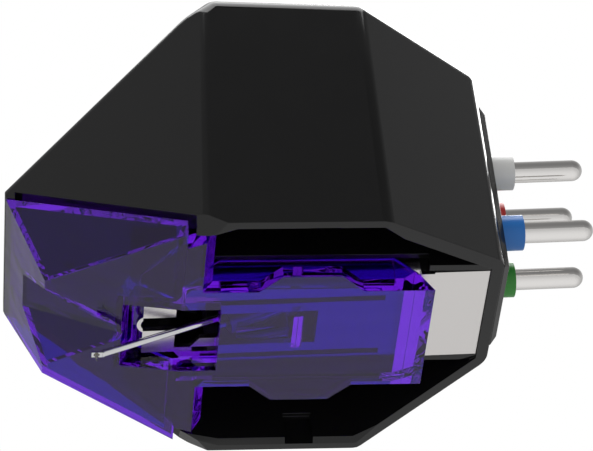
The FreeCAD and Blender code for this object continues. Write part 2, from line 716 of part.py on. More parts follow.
def coil_winding(y, z):
    """All the turns of one coil as one block with rounded corners."""
    x0 = COIL_FRONT_X + BOBBIN_FLANGE + PRESS_GAP
    x1 = coil_rear_x - BOBBIN_FLANGE - PRESS_GAP
    outer = square_bar(WINDING_HALF_WIDTH, x0, x1, y, z)
    long_edges = [edge for edge in outer.Edges if edge.BoundBox.XLength > PRESS_GAP]
    outer = outer.makeFillet(WINDING_CORNER, long_edges)
    return outer.cut(square_bar(bobbin_core_half() + PRESS_GAP, x0, x1, y, z))


def rear_yoke():
    """Soft-iron plate that the rear ends of all four poles stand against."""
    half = COIL_HALF_PITCH_Y + YOKE_MARGIN
    low, high = COIL_LOW_Z - YOKE_MARGIN, COIL_TOP_Z + YOKE_MARGIN
    return box(yoke_x, yoke_x + YOKE_THICKNESS, -half, half, low, high)


def carrier_tube():
    return on_slope(ring_x(TUBE_RADIUS, tube_bore, -TUBE_FRONT, TUBE_REAR))


def tie_wire_anchor():
    x0 = TUBE_REAR - ANCHOR_LENGTH
    return on_slope(ring_x(tube_bore - PRESS_GAP, TIE_WIRE_RADIUS + PRESS_GAP, x0, TUBE_REAR))


def tie_wire():
    """Steel wire that holds the magnet's end back against the damper."""
    start = CANTILEVER_TAIL + MAGNET_LENGTH + DAMPER_GAP
    return on_slope(rod_x(TIE_WIRE_RADIUS, start, TUBE_REAR))


def damper_ring():
    """Rubber ring that the cantilever pivots in."""
    half = DAMPER_LENGTH / 2
    return on_slope(ring_x(tube_bore - DAMPER_GAP, CANTILEVER_RADIUS + DAMPER_GAP, -half, half))


def magnet():
    start = CANTILEVER_TAIL
    return on_slope(rod_x(MAGNET_RADIUS, start, start + MAGNET_LENGTH))


def paddle_box():
    """Flattened, levelled end of the cantilever that carries the stylus."""
    tip_x, tip_z = slope_point(-CANTILEVER_LENGTH)
    z0 = tip_z - PADDLE_THICKNESS / 2
    half = PADDLE_WIDTH / 2
    x0 = tip_x - PADDLE_AHEAD
    return box(x0, x0 + PADDLE_LENGTH, -half, half, z0, z0 + PADDLE_THICKNESS)


def cantilever():
    """Drawn aluminium tube with its front end pressed flat."""
    tube = ring_x(CANTILEVER_RADIUS, CANTILEVER_RADIUS - CANTILEVER_WALL, -CANTILEVER_LENGTH, CANTILEVER_TAIL)
    plug = rod_x(CANTILEVER_RADIUS, -CANTILEVER_LENGTH, PADDLE_LENGTH - CANTILEVER_LENGTH)
    return on_slope(tube.fuse(plug)).fuse(paddle_box()).removeSplitter()


def stylus():
    """Diamond: a short shank under the flattened end, ground to a cone."""
    bounds = paddle_box().BoundBox
    x = bounds.XMin + PADDLE_AHEAD / 2
    top = bounds.ZMin
    down = Vector(0, 0, -1)
    shank = Part.makeCylinder(STYLUS_RADIUS, STYLUS_SHANK_LENGTH, Vector(x, 0, top), down)
    cone_z = top - STYLUS_SHANK_LENGTH
    cone = Part.makeCone(
        STYLUS_RADIUS, STYLUS_TIP_RADIUS, STYLUS_LENGTH - STYLUS_SHANK_LENGTH, Vector(x, 0, cone_z), down
    )
    return shank.fuse(cone).removeSplitter()


def holder_nose(wall=0.0):
    """Wedge under the body's nose, cut by its front, side, upper and lower planes.

    With a wall, each plane but the upper one lies that much further in, as the hollow needs.
    """
    inside = Vector(HOLDER_LOW_X + MARGIN, 0, HOLDER_LOW_Z + MARGIN)
    top = Vector(HOLDER_TOP_X, HOLDER_TOP_HALF_WIDTH, HOLDER_TOP_Z)
    low = Vector(HOLDER_LOW_X, HOLDER_LOW_HALF_WIDTH, HOLDER_LOW_Z)
    rear = Vector(WING_REAR_X, wing_half_width, WING_TOP_REAR_Z)
    base = Vector(BASE_BREAK_X, 0, HOLDER_BASE_Z)
    nose = box(HOLDER_TOP_X, WING_REAR_X, -HALF_WIDTH, HALF_WIDTH, HOLDER_BASE_Z, HOLDER_TOP_Z)
    nose = cut_three(nose, top, mirrored(top), rear, inside)
    nose = cut_three(nose, top, mirrored(top), low, inside, wall)
    nose = cut_both_sides(nose, top, low, rear, inside, wall)
    return cut_three(nose, low, mirrored(low), base, inside, wall)


def nose_hollow():
    """The nose is moulded with an even wall: what is left open towards the body's nose."""
    x0, x1 = HOLDER_TOP_X, WING_REAR_X - NOSE_WALL
    room = holder_nose(NOSE_WALL).common(box(x0, x1, -HALF_WIDTH, HALF_WIDTH, HOLDER_BASE_Z, HOLDER_TOP_Z))
    return room.cut(window(NOSE_WALL)).cut(sight_channel(NOSE_WALL))


def holder_shelf():
    """Flat part of the holder that lies inside the body's rim, with a slanted rear end."""
    outline = [
        (SHELF_FRONT_X, HOLDER_BASE_Z),
        (SHELF_REAR_X, HOLDER_BASE_Z),
        (SHELF_REAR_X + SHELF_SLANT, HOLDER_BASE_Z + SHELF_THICKNESS),
        (SHELF_FRONT_X, HOLDER_BASE_Z + SHELF_THICKNESS),
    ]
    plan = plan_prism(both_sides([
        (SHELF_FRONT_X, SHELF_FRONT_HALF_WIDTH),
        (WING_REAR_X, SHELF_CORNER_HALF_WIDTH),
        (SHELF_REAR_X, SHELF_HALF_WIDTH),
        (SHELF_REAR_X + SHELF_SLANT, SHELF_HALF_WIDTH),
    ]), RIM_Z - MARGIN, 0)
    shelf = side_prism(outline, HALF_WIDTH).common(plan)
    base = Vector(BASE_BREAK_X, 0, HOLDER_BASE_Z)
    low = Vector(HOLDER_LOW_X, HOLDER_LOW_HALF_WIDTH, HOLDER_LOW_Z)
    return cut_three(shelf, low, mirrored(low), base, Vector(WING_REAR_X, 0, 0))


def holder_tray():
    """Long tray behind the window: a floor between two low walls, with a ramped rear end."""
    outline = [
        (SHELF_REAR_X - MARGIN, HOLDER_BASE_Z),
        (TRAY_REAR_X, HOLDER_BASE_Z),
        (TRAY_RAMP_X + TRAY_RAMP_STEP, TRAY_TOP_Z - TRAY_RAMP_STEP_DROP),
        (TRAY_RAMP_X, TRAY_TOP_Z),
        (WINDOW_REAR_X, TRAY_TOP_Z),
        (SHELF_REAR_X - MARGIN, HOLDER_BASE_Z + SHELF_THICKNESS),
    ]
    tray = side_prism(outline, tray_half_width)
    inner = tray_half_width - TRAY_WALL
    tray = tray.cut(box(SHELF_REAR_X - 2 * MARGIN, TRAY_REAR_X, -inner, inner, tray_floor_z, 0))
    for side in (-1, 1):
        y0, y1 = sorted((side * (tray_half_width - FLANGE_INSET), side * (tray_half_width + MARGIN)))
        recess = box(SHELF_REAR_X, TRAY_RAMP_X, y0, y1, HOLDER_BASE_Z + FLANGE_HEIGHT, 0)
        tray = tray.cut(recess)
    return tray


def tray_ridges():
    """Two cross ridges on the tray's floor: its thickened rear end, and a low one behind the keel."""
    half = tray_half_width - TRAY_WALL / 2
    top = shield_z(TRAY_RAMP_X) - RIDGE_GAP
    low = tray_floor_z - RIDGE_ROOT
    fall = (TRAY_TOP_Z - TRAY_RAMP_STEP_DROP - HOLDER_BASE_Z) / (TRAY_REAR_X - TRAY_RAMP_X - TRAY_RAMP_STEP)
    top_x = TRAY_REAR_X - (top - HOLDER_BASE_Z) / fall
    front_x = top_x - (top - tray_floor_z) / math.tan(math.radians(RIDGE_FRONT_DEG))
    rear = side_prism([
        (front_x, low),
        (TRAY_REAR_X - (low - HOLDER_BASE_Z) / fall, low),
        (top_x, top),
        (front_x, tray_floor_z),
    ], half)
    small = side_prism([
        (RIDGE_X - RIDGE_HEIGHT, tray_floor_z),
        (RIDGE_X - RIDGE_HEIGHT, low),
        (RIDGE_X + RIDGE_HEIGHT, low),
        (RIDGE_X + RIDGE_HEIGHT, tray_floor_z),
        (RIDGE_X, tray_floor_z + RIDGE_HEIGHT),
    ], KEYHOLE_NECK_HALF_WIDTH)
    return rear.fuse(small)


def holder_lugs():
    """Trapezoid finger lugs at both sides of the tray."""
    outer = tray_half_width + LUG_REACH
    root = tray_half_width - TRAY_WALL
    outline = [(LUG_FRONT_X, tray_half_width), (LUG_FRONT_X + LUG_TAPER, outer)]
    outline += [(LUG_REAR_X - LUG_TAPER, outer), (LUG_REAR_X, tray_half_width)]
    outline = [(LUG_FRONT_X, root)] + outline + [(LUG_REAR_X, root)]
    lug = plan_prism(outline, HOLDER_BASE_Z, HOLDER_BASE_Z + LUG_HEIGHT)
    return lug.fuse(lug.mirror(Vector(0, 0, 0), Vector(0, 1, 0)))


def holder_keel():
    """Thin upright web that the front of the carrier tube lies on."""
    front_x, front_z = slope_point(-KEEL_FRONT)
    rear_x, rear_z = slope_point(TUBE_REAR - KEEL_REAR)
    outline = [(front_x, tray_floor_z - TRAY_FLOOR / 2), (rear_x, tray_floor_z - TRAY_FLOOR / 2)]
    outline += [(rear_x, rear_z), (front_x, front_z)]
    keel = side_prism(outline, KEEL_HALF_WIDTH)
    return keel.cut(on_slope(rod_x(TUBE_RADIUS, -TUBE_REAR, 2 * TUBE_REAR)))


def window(wall=0.0):
    """Opening in the holder's underside for the cantilever, or the room that it and its wall take."""
    top = HOLDER_BASE_Z + 2 * SHELF_THICKNESS + wall
    outline = [
        (WINDOW_FRONT_X - WINDOW_FRONT_SLANT / 2 - wall, HOLDER_BASE_Z - SHELF_THICKNESS),
        (WINDOW_REAR_X, HOLDER_BASE_Z - SHELF_THICKNESS),
        (WINDOW_REAR_X, top),
        (WINDOW_FRONT_X + WINDOW_FRONT_SLANT - wall, top),
    ]
    return side_prism(outline, WINDOW_HALF_WIDTH + wall)


def sight_channel(wall=0.0):
    """Three-sided groove from the front face to the window, to see the tip by, or its walls' room."""
    roof = Vector(CHANNEL_ROOF_X, CHANNEL_ROOF_HALF_WIDTH, CHANNEL_ROOF_Z)
    mouth = Vector(CHANNEL_MOUTH_X, CHANNEL_MOUTH_HALF_WIDTH, HOLDER_LOW_Z)
    end = Vector(WINDOW_FRONT_X, CHANNEL_END_HALF_WIDTH, CHANNEL_END_ROOF_Z)
    inside = Vector(CHANNEL_MOUTH_X, 0, HOLDER_LOW_Z)
    half = 2 * CHANNEL_MOUTH_HALF_WIDTH
    x0, x1 = HOLDER_TOP_X - MARGIN, WINDOW_FRONT_X + MARGIN
    groove = box(x0, x1, -half, half, RIM_Z - MARGIN, CHANNEL_ROOF_Z + MARGIN)
    groove = cut_three(groove, roof, mirrored(roof), end, inside, -wall)
    return cut_both_sides(groove, roof, mouth, end, inside, -wall)


def stylus_holder():
    holder = holder_nose().cut(nose_hollow()).fuse(holder_shelf()).fuse(holder_tray()).fuse(holder_lugs())
    holder = holder.cut(window()).cut(sight_channel()).fuse(holder_keel()).fuse(tray_ridges())
    return holder.removeSplitter()


def all_nodes():
    nodes = {
        "terminal_plate": terminal_plate(),
        "shield_plate": shield_plate(),
        "generator_frame": generator_frame(),
        "rear_yoke": rear_yoke(),
        "stylus_holder": stylus_holder(),
        "carrier_tube": carrier_tube(),
        "tie_wire_anchor": tie_wire_anchor(),
        "tie_wire": tie_wire(),
        "damper_ring": damper_ring(),
        "magnet": magnet(),
        "cantilever": cantilever(),
        "stylus_tip": stylus(),
    }
    nodes.update(pole_pieces(POLE_SIZE))
    for name, (y, z) in coil_places().items():
        nodes["coil_bobbin_" + name] = coil_bobbin(y, z)
        nodes["coil_winding_" + name] = coil_winding(y, z)
    for colour, (y, z) in pin_places().items():
        nodes["output_pin_" + colour] = output_pin(y, z)
        nodes["pin_sleeve_" + colour] = colour_sleeve(y, z)
    nodes = {name: levelled(shape) for name, shape in nodes.items()}
    nodes["body_shell"] = body_shell()
    nodes["threaded_insert_left"] = threaded_insert(1)
    nodes["threaded_insert_right"] = threaded_insert(-1)
    return nodes


for node, shape in all_nodes().items():
    print(node, "solids", len(shape.Solids), "valid", shape.isValid(), "volume", round(shape.Volume, 2))
    shape.exportStep("parts/" + node + ".step")
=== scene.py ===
# %% [markdown]
# # A turntable stylus cartridge
# A cartridge is a small box that hangs under the headshell of a record player. A black moulded
# body holds the coils, four plated pins carry the sound out at the back, and a clear violet
# stylus holder is pushed on from the front. A thin aluminium cantilever comes out of the window
# in that holder, with a diamond under its end.
#
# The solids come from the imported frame, already in place and at their real size. The lesson is
# about the looks: glossy black plastic, clear coloured plastic, plated metal and a white studio.

# %% The frame
import math

import bmesh
import bpy
import numpy as np
from mathutils import Matrix, Vector


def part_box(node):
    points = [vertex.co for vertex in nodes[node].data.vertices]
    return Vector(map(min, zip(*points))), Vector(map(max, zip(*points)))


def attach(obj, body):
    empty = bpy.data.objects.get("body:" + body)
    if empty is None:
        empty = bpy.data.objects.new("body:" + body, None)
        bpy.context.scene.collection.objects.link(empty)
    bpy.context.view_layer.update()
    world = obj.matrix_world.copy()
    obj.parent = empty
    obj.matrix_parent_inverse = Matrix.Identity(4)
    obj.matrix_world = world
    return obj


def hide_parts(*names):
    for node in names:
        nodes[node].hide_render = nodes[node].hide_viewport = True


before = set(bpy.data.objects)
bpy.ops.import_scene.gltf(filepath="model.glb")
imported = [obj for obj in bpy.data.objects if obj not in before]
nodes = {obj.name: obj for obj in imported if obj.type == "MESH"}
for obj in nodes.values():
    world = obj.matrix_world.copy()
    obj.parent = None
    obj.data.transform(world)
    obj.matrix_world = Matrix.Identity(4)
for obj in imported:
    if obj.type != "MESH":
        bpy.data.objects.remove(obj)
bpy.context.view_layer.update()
MM = 0.001
print("solids in the frame:", len(nodes))

# %% [markdown]
# ## Small helpers
# A material is a tree of nodes. It could be joined up by hand in the Shader Editor, and a script
# does the same with calls that are long and repeat. A few helpers keep the trees short: they make
# a node, feed a socket, do a sum with a Math node, start a material with its Principled shader,
# and give a finished material to the solids that share it. The last one puts an object into the
# scene.

# %% Small helpers
SHADER = "Principled BSDF"
OPAQUE = 1.0


def set_sockets(node, values):
    """Sets input sockets by name; a low line in the name stands for a space."""
    for name, value in values.items():
        node.inputs[name.replace("_", " ")].default_value = value


def make_node(tree, kind, settings=None, **sockets):
    """A new node of that kind, with its own settings and its input sockets set by name."""
    node = tree.nodes.new(kind)
    for name, value in (settings or {}).items():
        setattr(node, name, value)
    set_sockets(node, sockets)
    return node


def feed(tree, value, socket):
    """Joins an output to the socket, or sets a number, a colour or a vector on it."""
    if isinstance(value, bpy.types.NodeSocket):
        tree.links.new(value, socket)
    else:
        socket.default_value = value


def calculate(tree, operation, *values):
    """The output of a Math node that does this sum with numbers or other nodes' outputs."""
    node = make_node(tree, "ShaderNodeMath", {"operation": operation})
    for value, socket in zip(values, node.inputs):
        feed(tree, value, socket)
    return node.outputs[0]


def start_material(name, colour, **sockets):
    """A material whose Principled shader has that colour and these values on its own sockets."""
    material = bpy.data.materials.new(name)
    material.use_nodes = True
    shader = material.node_tree.nodes[SHADER]
    shader.inputs["Base Color"].default_value = (*colour, OPAQUE)
    set_sockets(shader, sockets)
    return material


def dress(material, names):
    """Gives the material to each of these solids."""
    for name in names:
        mesh = nodes[name].data
        mesh.materials.clear()
        mesh.materials.append(material)
    print(material.name, "is on", len(names), "solids")


def new_object(name, data):
    """An object in the scene for that mesh, lamp or camera."""
    thing = bpy.data.objects.new(name, data)
    bpy.context.scene.collection.objects.link(thing)
    return thing


print("each material starts from one", SHADER, "node")

# %% [markdown]
# ## The grain of a surface
# No moulded or rolled surface is quite even. Its gloss drifts a little from place to place, and
# fine tool marks tip the light. A picture of scratches would need a UV map, and the solids have
# none. Noise on Object coordinates needs no map, and they are metres here, so a grain of 0.1 mm
# is 0.1 mm on every piece. The group gives the drifting roughness and a height for the Bump node.

# %% The grain group
GRAIN_SOCKETS = ("Roughness", "Drift", "Drift Size", "Grain Size", "Stretch")
GRAIN_DETAIL = 3.0
NOISE_MIDDLE = 0.5
NO_STRETCH = 1.0


def drawn_out_place(tree, share):
    """Object coordinates with X times that share: a share below 1 draws noise out along X."""
    place = make_node(tree, "ShaderNodeTexCoord")
    squeeze = make_node(tree, "ShaderNodeCombineXYZ", Y=1.0, Z=1.0)
    feed(tree, share, squeeze.inputs["X"])
    squeezed = make_node(tree, "ShaderNodeVectorMath", {"operation": "MULTIPLY"})
    feed(tree, place.outputs["Object"], squeezed.inputs[0])
    feed(tree, squeeze.outputs[0], squeezed.inputs[1])
    return squeezed.outputs[0]


def noise_of_size(tree, place, size):
    """Noise with lumps of that size in metres, given as an output: its scale is 1 / size."""
    noise = make_node(tree, "ShaderNodeTexNoise", Detail=GRAIN_DETAIL)
    feed(tree, place, noise.inputs["Vector"])
    feed(tree, calculate(tree, "DIVIDE", 1.0, size), noise.inputs["Scale"])
    return noise.outputs["Fac"]


def grain_group():
    """Roughness + Drift * (coarse noise - its middle), and fine noise as the height."""
    group = bpy.data.node_groups.new("surface_grain", "ShaderNodeTree")
    face = group.interface
    for name in GRAIN_SOCKETS:
        face.new_socket(name=name, in_out="INPUT", socket_type="NodeSocketFloat")
    for name in ("Roughness", "Height"):
        face.new_socket(name=name, in_out="OUTPUT", socket_type="NodeSocketFloat")
    given = group.nodes.new("NodeGroupInput").outputs
    result = group.nodes.new("NodeGroupOutput").inputs
    place = drawn_out_place(group, calculate(group, "DIVIDE", 1.0, given["Stretch"]))
    drift = noise_of_size(group, place, given["Drift Size"])
    grain = noise_of_size(group, place, given["Grain Size"])
    centred = calculate(group, "SUBTRACT", drift, NOISE_MIDDLE)
    roughness = calculate(group, "MULTIPLY_ADD", centred, given["Drift"], given["Roughness"])
    feed(group, roughness, result["Roughness"])
    feed(group, grain, result["Height"])
    return group


def add_bump(material, height, depth):
    """A Bump node tips the shader's normal as a relief would whose height 1 is that depth."""
    tree = material.node_tree
    bump = make_node(tree, "ShaderNodeBump", Strength=1.0, Distance=depth)
    feed(tree, height, bump.inputs["Height"])
    feed(tree, bump.outputs["Normal"], tree.nodes[SHADER].inputs["Normal"])


def add_grain(material, depth, **values):
    """The grain group drives the shader's roughness and, through a Bump node, its normal."""
    tree = material.node_tree
    grain = make_node(tree, "ShaderNodeGroup", {"node_tree": GRAIN}, **values)
    feed(tree, grain.outputs["Roughness"], tree.nodes[SHADER].inputs["Roughness"])
    add_bump(material, grain.outputs["Height"], depth)


GRAIN = grain_group()
print("the grain group has", len(GRAIN.nodes), "nodes")

# %% [markdown]
# ## Black plastic
# The body is moulded in a polished tool. Almost all that is seen on it is what it mirrors: about
# a thirtieth of the light that falls on it straight, and far more at a slant. A grey colour could
# stand for that, but it would be the same grey on every facet. So the colour is nearly black and
# the gloss does the work.

# %% Black plastic
BLACK = (0.0055, 0.0055, 0.0057)
BLACK_IOR = 1.45
BLACK_GRAIN = {"Roughness": 0.13, "Drift": 0.05, "Drift_Size": 1.5 * MM, "Grain_Size": 0.08 * MM}
BLACK_GRAIN_DEPTH = 0.0001 * MM


def black_plastic():
    """Nearly black, with the gloss of a polished tool and the faintest grain."""
    material = start_material("black_plastic", BLACK, IOR=BLACK_IOR)
    add_grain(material, BLACK_GRAIN_DEPTH, Stretch=NO_STRETCH, **BLACK_GRAIN)
    return material


dress(black_plastic(), ["body_shell", "terminal_plate"])

# %% [markdown]
# ## Clear violet plastic
# The stylus holder is clear and violet. Colour in the volume would turn its thick places a pure
# deep blue, and the real one is the same violet everywhere, so the tint sits on the surface:
# light is coloured as it goes in and as it comes out, and what runs along inside lights the edges.
# The plastic froze as it flowed into the tool, so its faces wave by a few hundredths of a
# millimetre, in waves drawn out along X, and that breaks the bright lines at its edges.

# %% Violet plastic
VIOLET = (0.108, 0.0075, 0.52)
VIOLET_IOR = 1.49
FLOW_SIZE = 1.8 * MM
FLOW_SHARE = 0.35
FLOW_DETAIL = 1.0
FLOW_DEPTH = 0.04 * MM


def violet_plastic():
    """Clear, tinted where light goes in and out, with faces that wave by FLOW_DEPTH."""
    material = start_material(
        "violet_plastic", VIOLET, IOR=VIOLET_IOR, Roughness=0.0, Transmission_Weight=1.0
    )
    tree = material.node_tree
    flow = make_node(tree, "ShaderNodeTexNoise", Scale=1.0 / FLOW_SIZE, Detail=FLOW_DETAIL)
    feed(tree, drawn_out_place(tree, FLOW_SHARE), flow.inputs["Vector"])
    add_bump(material, flow.outputs["Fac"], FLOW_DEPTH)
    return material


dress(violet_plastic(), ["stylus_holder"])

# %% [markdown]
# ## Metals
# The shield is a pale nickel alloy with a fine matt finish, the pins are bright plated, and the
# cantilever is a drawn aluminium tube. Each could have a tree of its own, but they differ in
# three things only: their colour, how rough they are, and how far their grain is drawn out along
# X, as it is on rolled sheet and drawn wire. So they share one recipe.

# %% Metals
METAL_GRAIN = {"Drift": 0.08, "Drift_Size": 0.8 * MM, "Grain_Size": 0.03 * MM}
METAL_GRAIN_DEPTH = 0.0004 * MM
METAL_RECIPES = {
    "nickel_silver": {"colour": (0.80, 0.775, 0.76), "roughness": 0.24, "stretch": 12.0},
    "plated_pin": {"colour": (0.90, 0.88, 0.86), "roughness": 0.06},
    "aluminium_tube": {"colour": (0.78, 0.78, 0.80), "roughness": 0.12, "stretch": 20.0},
    "brass": {"colour": (0.80, 0.60, 0.28), "roughness": 0.22},
    "enamelled_copper": {"colour": (0.72, 0.30, 0.14), "roughness": 0.3},
    "steel": {"colour": (0.55, 0.55, 0.56), "roughness": 0.3, "stretch": 8.0},
    "soft_iron": {"colour": (0.36, 0.35, 0.34), "roughness": 0.42, "stretch": 6.0},
}
SIDES = ["left", "right"]
LEVELS = ["upper", "lower"]
CORNERS = [level + "_" + side for level in LEVELS for side in SIDES]
POLES = [level + "_pole_" + side for level in LEVELS for side in SIDES]
PINS = ["output_pin_" + colour for colour in ("white", "red", "blue", "green")]
METAL_SOLIDS = {
    "nickel_silver": ["shield_plate"],
    "plated_pin": PINS,
    "aluminium_tube": ["cantilever"],
    "brass": ["threaded_insert_" + side for side in SIDES],
    "enamelled_copper": ["coil_winding_" + corner for corner in CORNERS],
    "steel": ["carrier_tube", "tie_wire", "tie_wire_anchor"],
    "soft_iron": ["rear_yoke", "magnet"] + POLES,
}


def metal(name, colour, roughness, stretch=NO_STRETCH):
    """A metal of that colour; a stretch above 1 draws its grain out along X."""
    material = start_material(name, colour, Metallic=1.0)
    add_grain(material, METAL_GRAIN_DEPTH, Roughness=roughness, Stretch=stretch, **METAL_GRAIN)
    return material


metals = {name: metal(name, **recipe) for name, recipe in METAL_RECIPES.items()}
for name, solids in METAL_SOLIDS.items():
    dress(metals[name], solids)

# %% [markdown]
# ## Plain plastics and rubber
# The coloured sleeves tell the channels apart: white and blue are the left channel, red and
# green the right. They are soft plastic with a dull gloss. The parts inside are moulded in
# plain plastic, and the damper is rubber. Each could be tuned by itself, but plastics differ in
# little more than colour and gloss, so they share one recipe too.

# %% Plain plastics and rubber
PLASTIC_IOR = 1.5
PLASTIC_GRAIN = {"Drift": 0.08, "Drift_Size": 0.6 * MM, "Grain_Size": 0.05 * MM}
PLASTIC_GRAIN_DEPTH = 0.0008 * MM
SLEEVE_ROUGHNESS = 0.3
SLEEVE_COLOURS = {
    "white": (0.70, 0.70, 0.69),
    "red": (0.55, 0.02, 0.02),
    "blue": (0.011, 0.16, 0.53),
    "green": (0.02, 0.27, 0.02),
}
MOULDED_ROUGHNESS = 0.4
FRAME_BLACK = (0.012, 0.012, 0.013)
BOBBIN_CREAM = (0.30, 0.27, 0.20)
RUBBER_ROUGHNESS = 0.7
RUBBER_BLACK = (0.015, 0.015, 0.015)


def plain_plastic(name, colour, roughness):
    """A moulded plastic of that colour, with a drift in its gloss and a fine grain."""
    material = start_material(name, colour, IOR=PLASTIC_IOR)
    add_grain(
        material, PLASTIC_GRAIN_DEPTH, Roughness=roughness, Stretch=NO_STRETCH, **PLASTIC_GRAIN
    )
    return material


for name, colour in SLEEVE_COLOURS.items():
    dress(plain_plastic("sleeve_" + name, colour, SLEEVE_ROUGHNESS), ["pin_sleeve_" + name])
bobbins = ["coil_bobbin_" + corner for corner in CORNERS]
dress(plain_plastic("frame_plastic", FRAME_BLACK, MOULDED_ROUGHNESS), ["generator_frame"])
dress(plain_plastic("bobbin_plastic", BOBBIN_CREAM, MOULDED_ROUGHNESS), bobbins)
dress(plain_plastic("rubber", RUBBER_BLACK, RUBBER_ROUGHNESS), ["damper_ring"])

# %% [markdown]
# ## The diamond
# The stylus is a diamond a fifth of a millimetre thick, and light bends in it more than in any
# plastic. A glossy white would do from afar. The real index of refraction costs no more, and it
# makes the point dark and bright in turn, as a stone is.

# %% The diamond
STRAW_TINT = (0.9, 0.9, 0.86)
DIAMOND_IOR = 2.42
DIAMOND_ROUGHNESS = 0.02


def diamond():
    """A clear stone with a faint straw tint, ground to a fine polish."""
    return start_material(
        "diamond", STRAW_TINT, IOR=DIAMOND_IOR, Roughness=DIAMOND_ROUGHNESS, Transmission_Weight=1.0
    )


dress(diamond(), ["stylus_tip"])

# %% [markdown]
# ## Rounded edges
# No moulded edge is sharp: each has a small radius from the tool, and that radius catches the
# light as a thin line. The radii could be fillets on the solids, but they are too small to
# matter there and would add thousands of faces. Here a copy of the solid is merged into flat
# faces, a Bevel modifier rounds its edges, and the copy takes the solid's place. On the clear
# holder only the steep edges are rounded, and by less, because a round edge inside clear plastic
# shows as a dark line.

# %% Rounded edges
MERGE_DISTANCE = 0.0002 * MM
FLAT_ANGLE = math.radians(0.6)
SHARP_ANGLE = math.radians(28.0)
HOLDER_SHARP_ANGLE = math.radians(55.0)
HOLDER_RADIUS = 0.03 * MM
HOLDER_STEPS = 3
BODY_RADIUS = 0.06 * MM
BODY_STEPS = 2
PLATE_RADIUS = 0.05 * MM
PLATE_STEPS = 2


def add_piece(name, mesh, body):
    """A new piece that moves with that body."""
    piece = new_object(name, mesh)
    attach(piece, body)
    return piece


def merged_copy(name):
    """A copy of the solid's mesh with its loose triangles merged into flat faces."""
    mesh = nodes[name].data.copy()
    mesh.name = name + "_rounded"
    work = bmesh.new()
    work.from_mesh(mesh)
    bmesh.ops.remove_doubles(work, verts=work.verts, dist=MERGE_DISTANCE)
    bmesh.ops.dissolve_limit(work, angle_limit=FLAT_ANGLE, verts=work.verts, edges=work.edges)
    work.to_mesh(mesh)
    work.free()
    return mesh


def round_edges(name, body, radius, steps, sharp_angle):
    """The solid with a round of that radius on every edge that turns by more than the angle."""
    mesh = merged_copy(name)
    piece = add_piece(name + "_rounded", mesh, body)
    bevel = piece.modifiers.new("edge_radius", "BEVEL")
    bevel.width = radius
    bevel.segments = steps
    bevel.limit_method = "ANGLE"
    bevel.angle_limit = sharp_angle
    bevel.harden_normals = True
    bevel.miter_outer = "MITER_ARC"
    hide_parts(name)
    print(piece.name, "has", len(mesh.polygons), "faces before its bevel")


round_edges(
    "stylus_holder", "stylus_unit",
    HOLDER_RADIUS, HOLDER_STEPS, HOLDER_SHARP_ANGLE,
)
round_edges(
    "body_shell", "cartridge_body",
    BODY_RADIUS, BODY_STEPS, SHARP_ANGLE,
)
round_edges(
    "terminal_plate", "cartridge_body",
    PLATE_RADIUS, PLATE_STEPS, SHARP_ANGLE,
)

# %% [markdown]
# ## Skins through rings
# A thread, a winding and a bead of resin are all surfaces that go round and come back. Spin and
# Screw could turn some of them from a profile, but a formula says more plainly where every point
# is. So each is a cycle of rings: a ring is a closed loop of points, each ring is joined to the
# next one, and the last ring to the first, so the skin has no hole. numpy works out all the
# points at once.

# %% A skin through rings
SMOOTH_BELOW = math.radians(35.0)


def signed_volume(points, quads):
    """Sum of a . (b x c) / 6 over the triangles: positive where the faces point outwards."""
    a, b, c, d = (points[quads[:, k]] for k in range(4))
    return float((a * np.cross(b, c)).sum() + (a * np.cross(c, d)).sum()) / 6.0


def ring_skin(name, rings, material, body):
    """A closed piece through a cycle of rings, given as (ring, point, xyz)."""
    count, around = rings.shape[:2]
    points = rings.reshape(-1, 3)
    here = np.arange(count * around).reshape(count, around)
    beside = np.roll(here, -1, axis=1)
    quads = np.stack([here, beside, np.roll(beside, -1, axis=0), np.roll(here, -1, axis=0)], axis=-1)
    quads = quads.reshape(-1, 4)
    if signed_volume(points - points.mean(axis=0), quads) < 0:
        quads = quads[:, ::-1]
    mesh = bpy.data.meshes.new(name)
    mesh.from_pydata(points.tolist(), [], quads.tolist())
    mesh.shade_smooth()
    mesh.set_sharp_from_angle(angle=SMOOTH_BELOW)
    mesh.materials.append(material)
    print(name, "has", len(quads), "faces")
    return add_piece(name, mesh, body)


print("a skin is smooth where it turns by less than", round(math.degrees(SMOOTH_BELOW)), "degrees")

# %% [markdown]
# ## The threads in the inserts
# The screws are M2.5, so the thread climbs 0.45 mm in each turn and stands 0.54 of that deep. A
# bump would leave the bore's mouth smooth, and there the thread is seen in outline, so it is a
# real shape. On the bore, the radius depends on how far down a point is and how far round: a
# triangle wave of both, cut flat at its crests and roots.

# %% Threaded inserts
THREAD_PITCH = 0.45 * MM
THREAD_ROOT_RADIUS = 1.25 * MM
THREAD_DEPTH_SHARE = 0.54
THREAD_DEPTH = THREAD_DEPTH_SHARE * THREAD_PITCH
THREAD_FLAT = 0.125
MOUTH_CHAMFER = 0.2 * MM
POINTS_PER_PITCH = 8
INSERT_SIDES = 48
SMALL_COSINE = 1e-6


def thread_wave(turns):
    """1 - |2 * (turns mod 1) - 1|, with THREAD_FLAT cut off at top and bottom, then 0 to 1."""
    wave = 1.0 - np.abs(2.0 * (turns % 1.0) - 1.0)
    return np.clip((wave - THREAD_FLAT) / (1.0 - 2.0 * THREAD_FLAT), 0.0, 1.0)


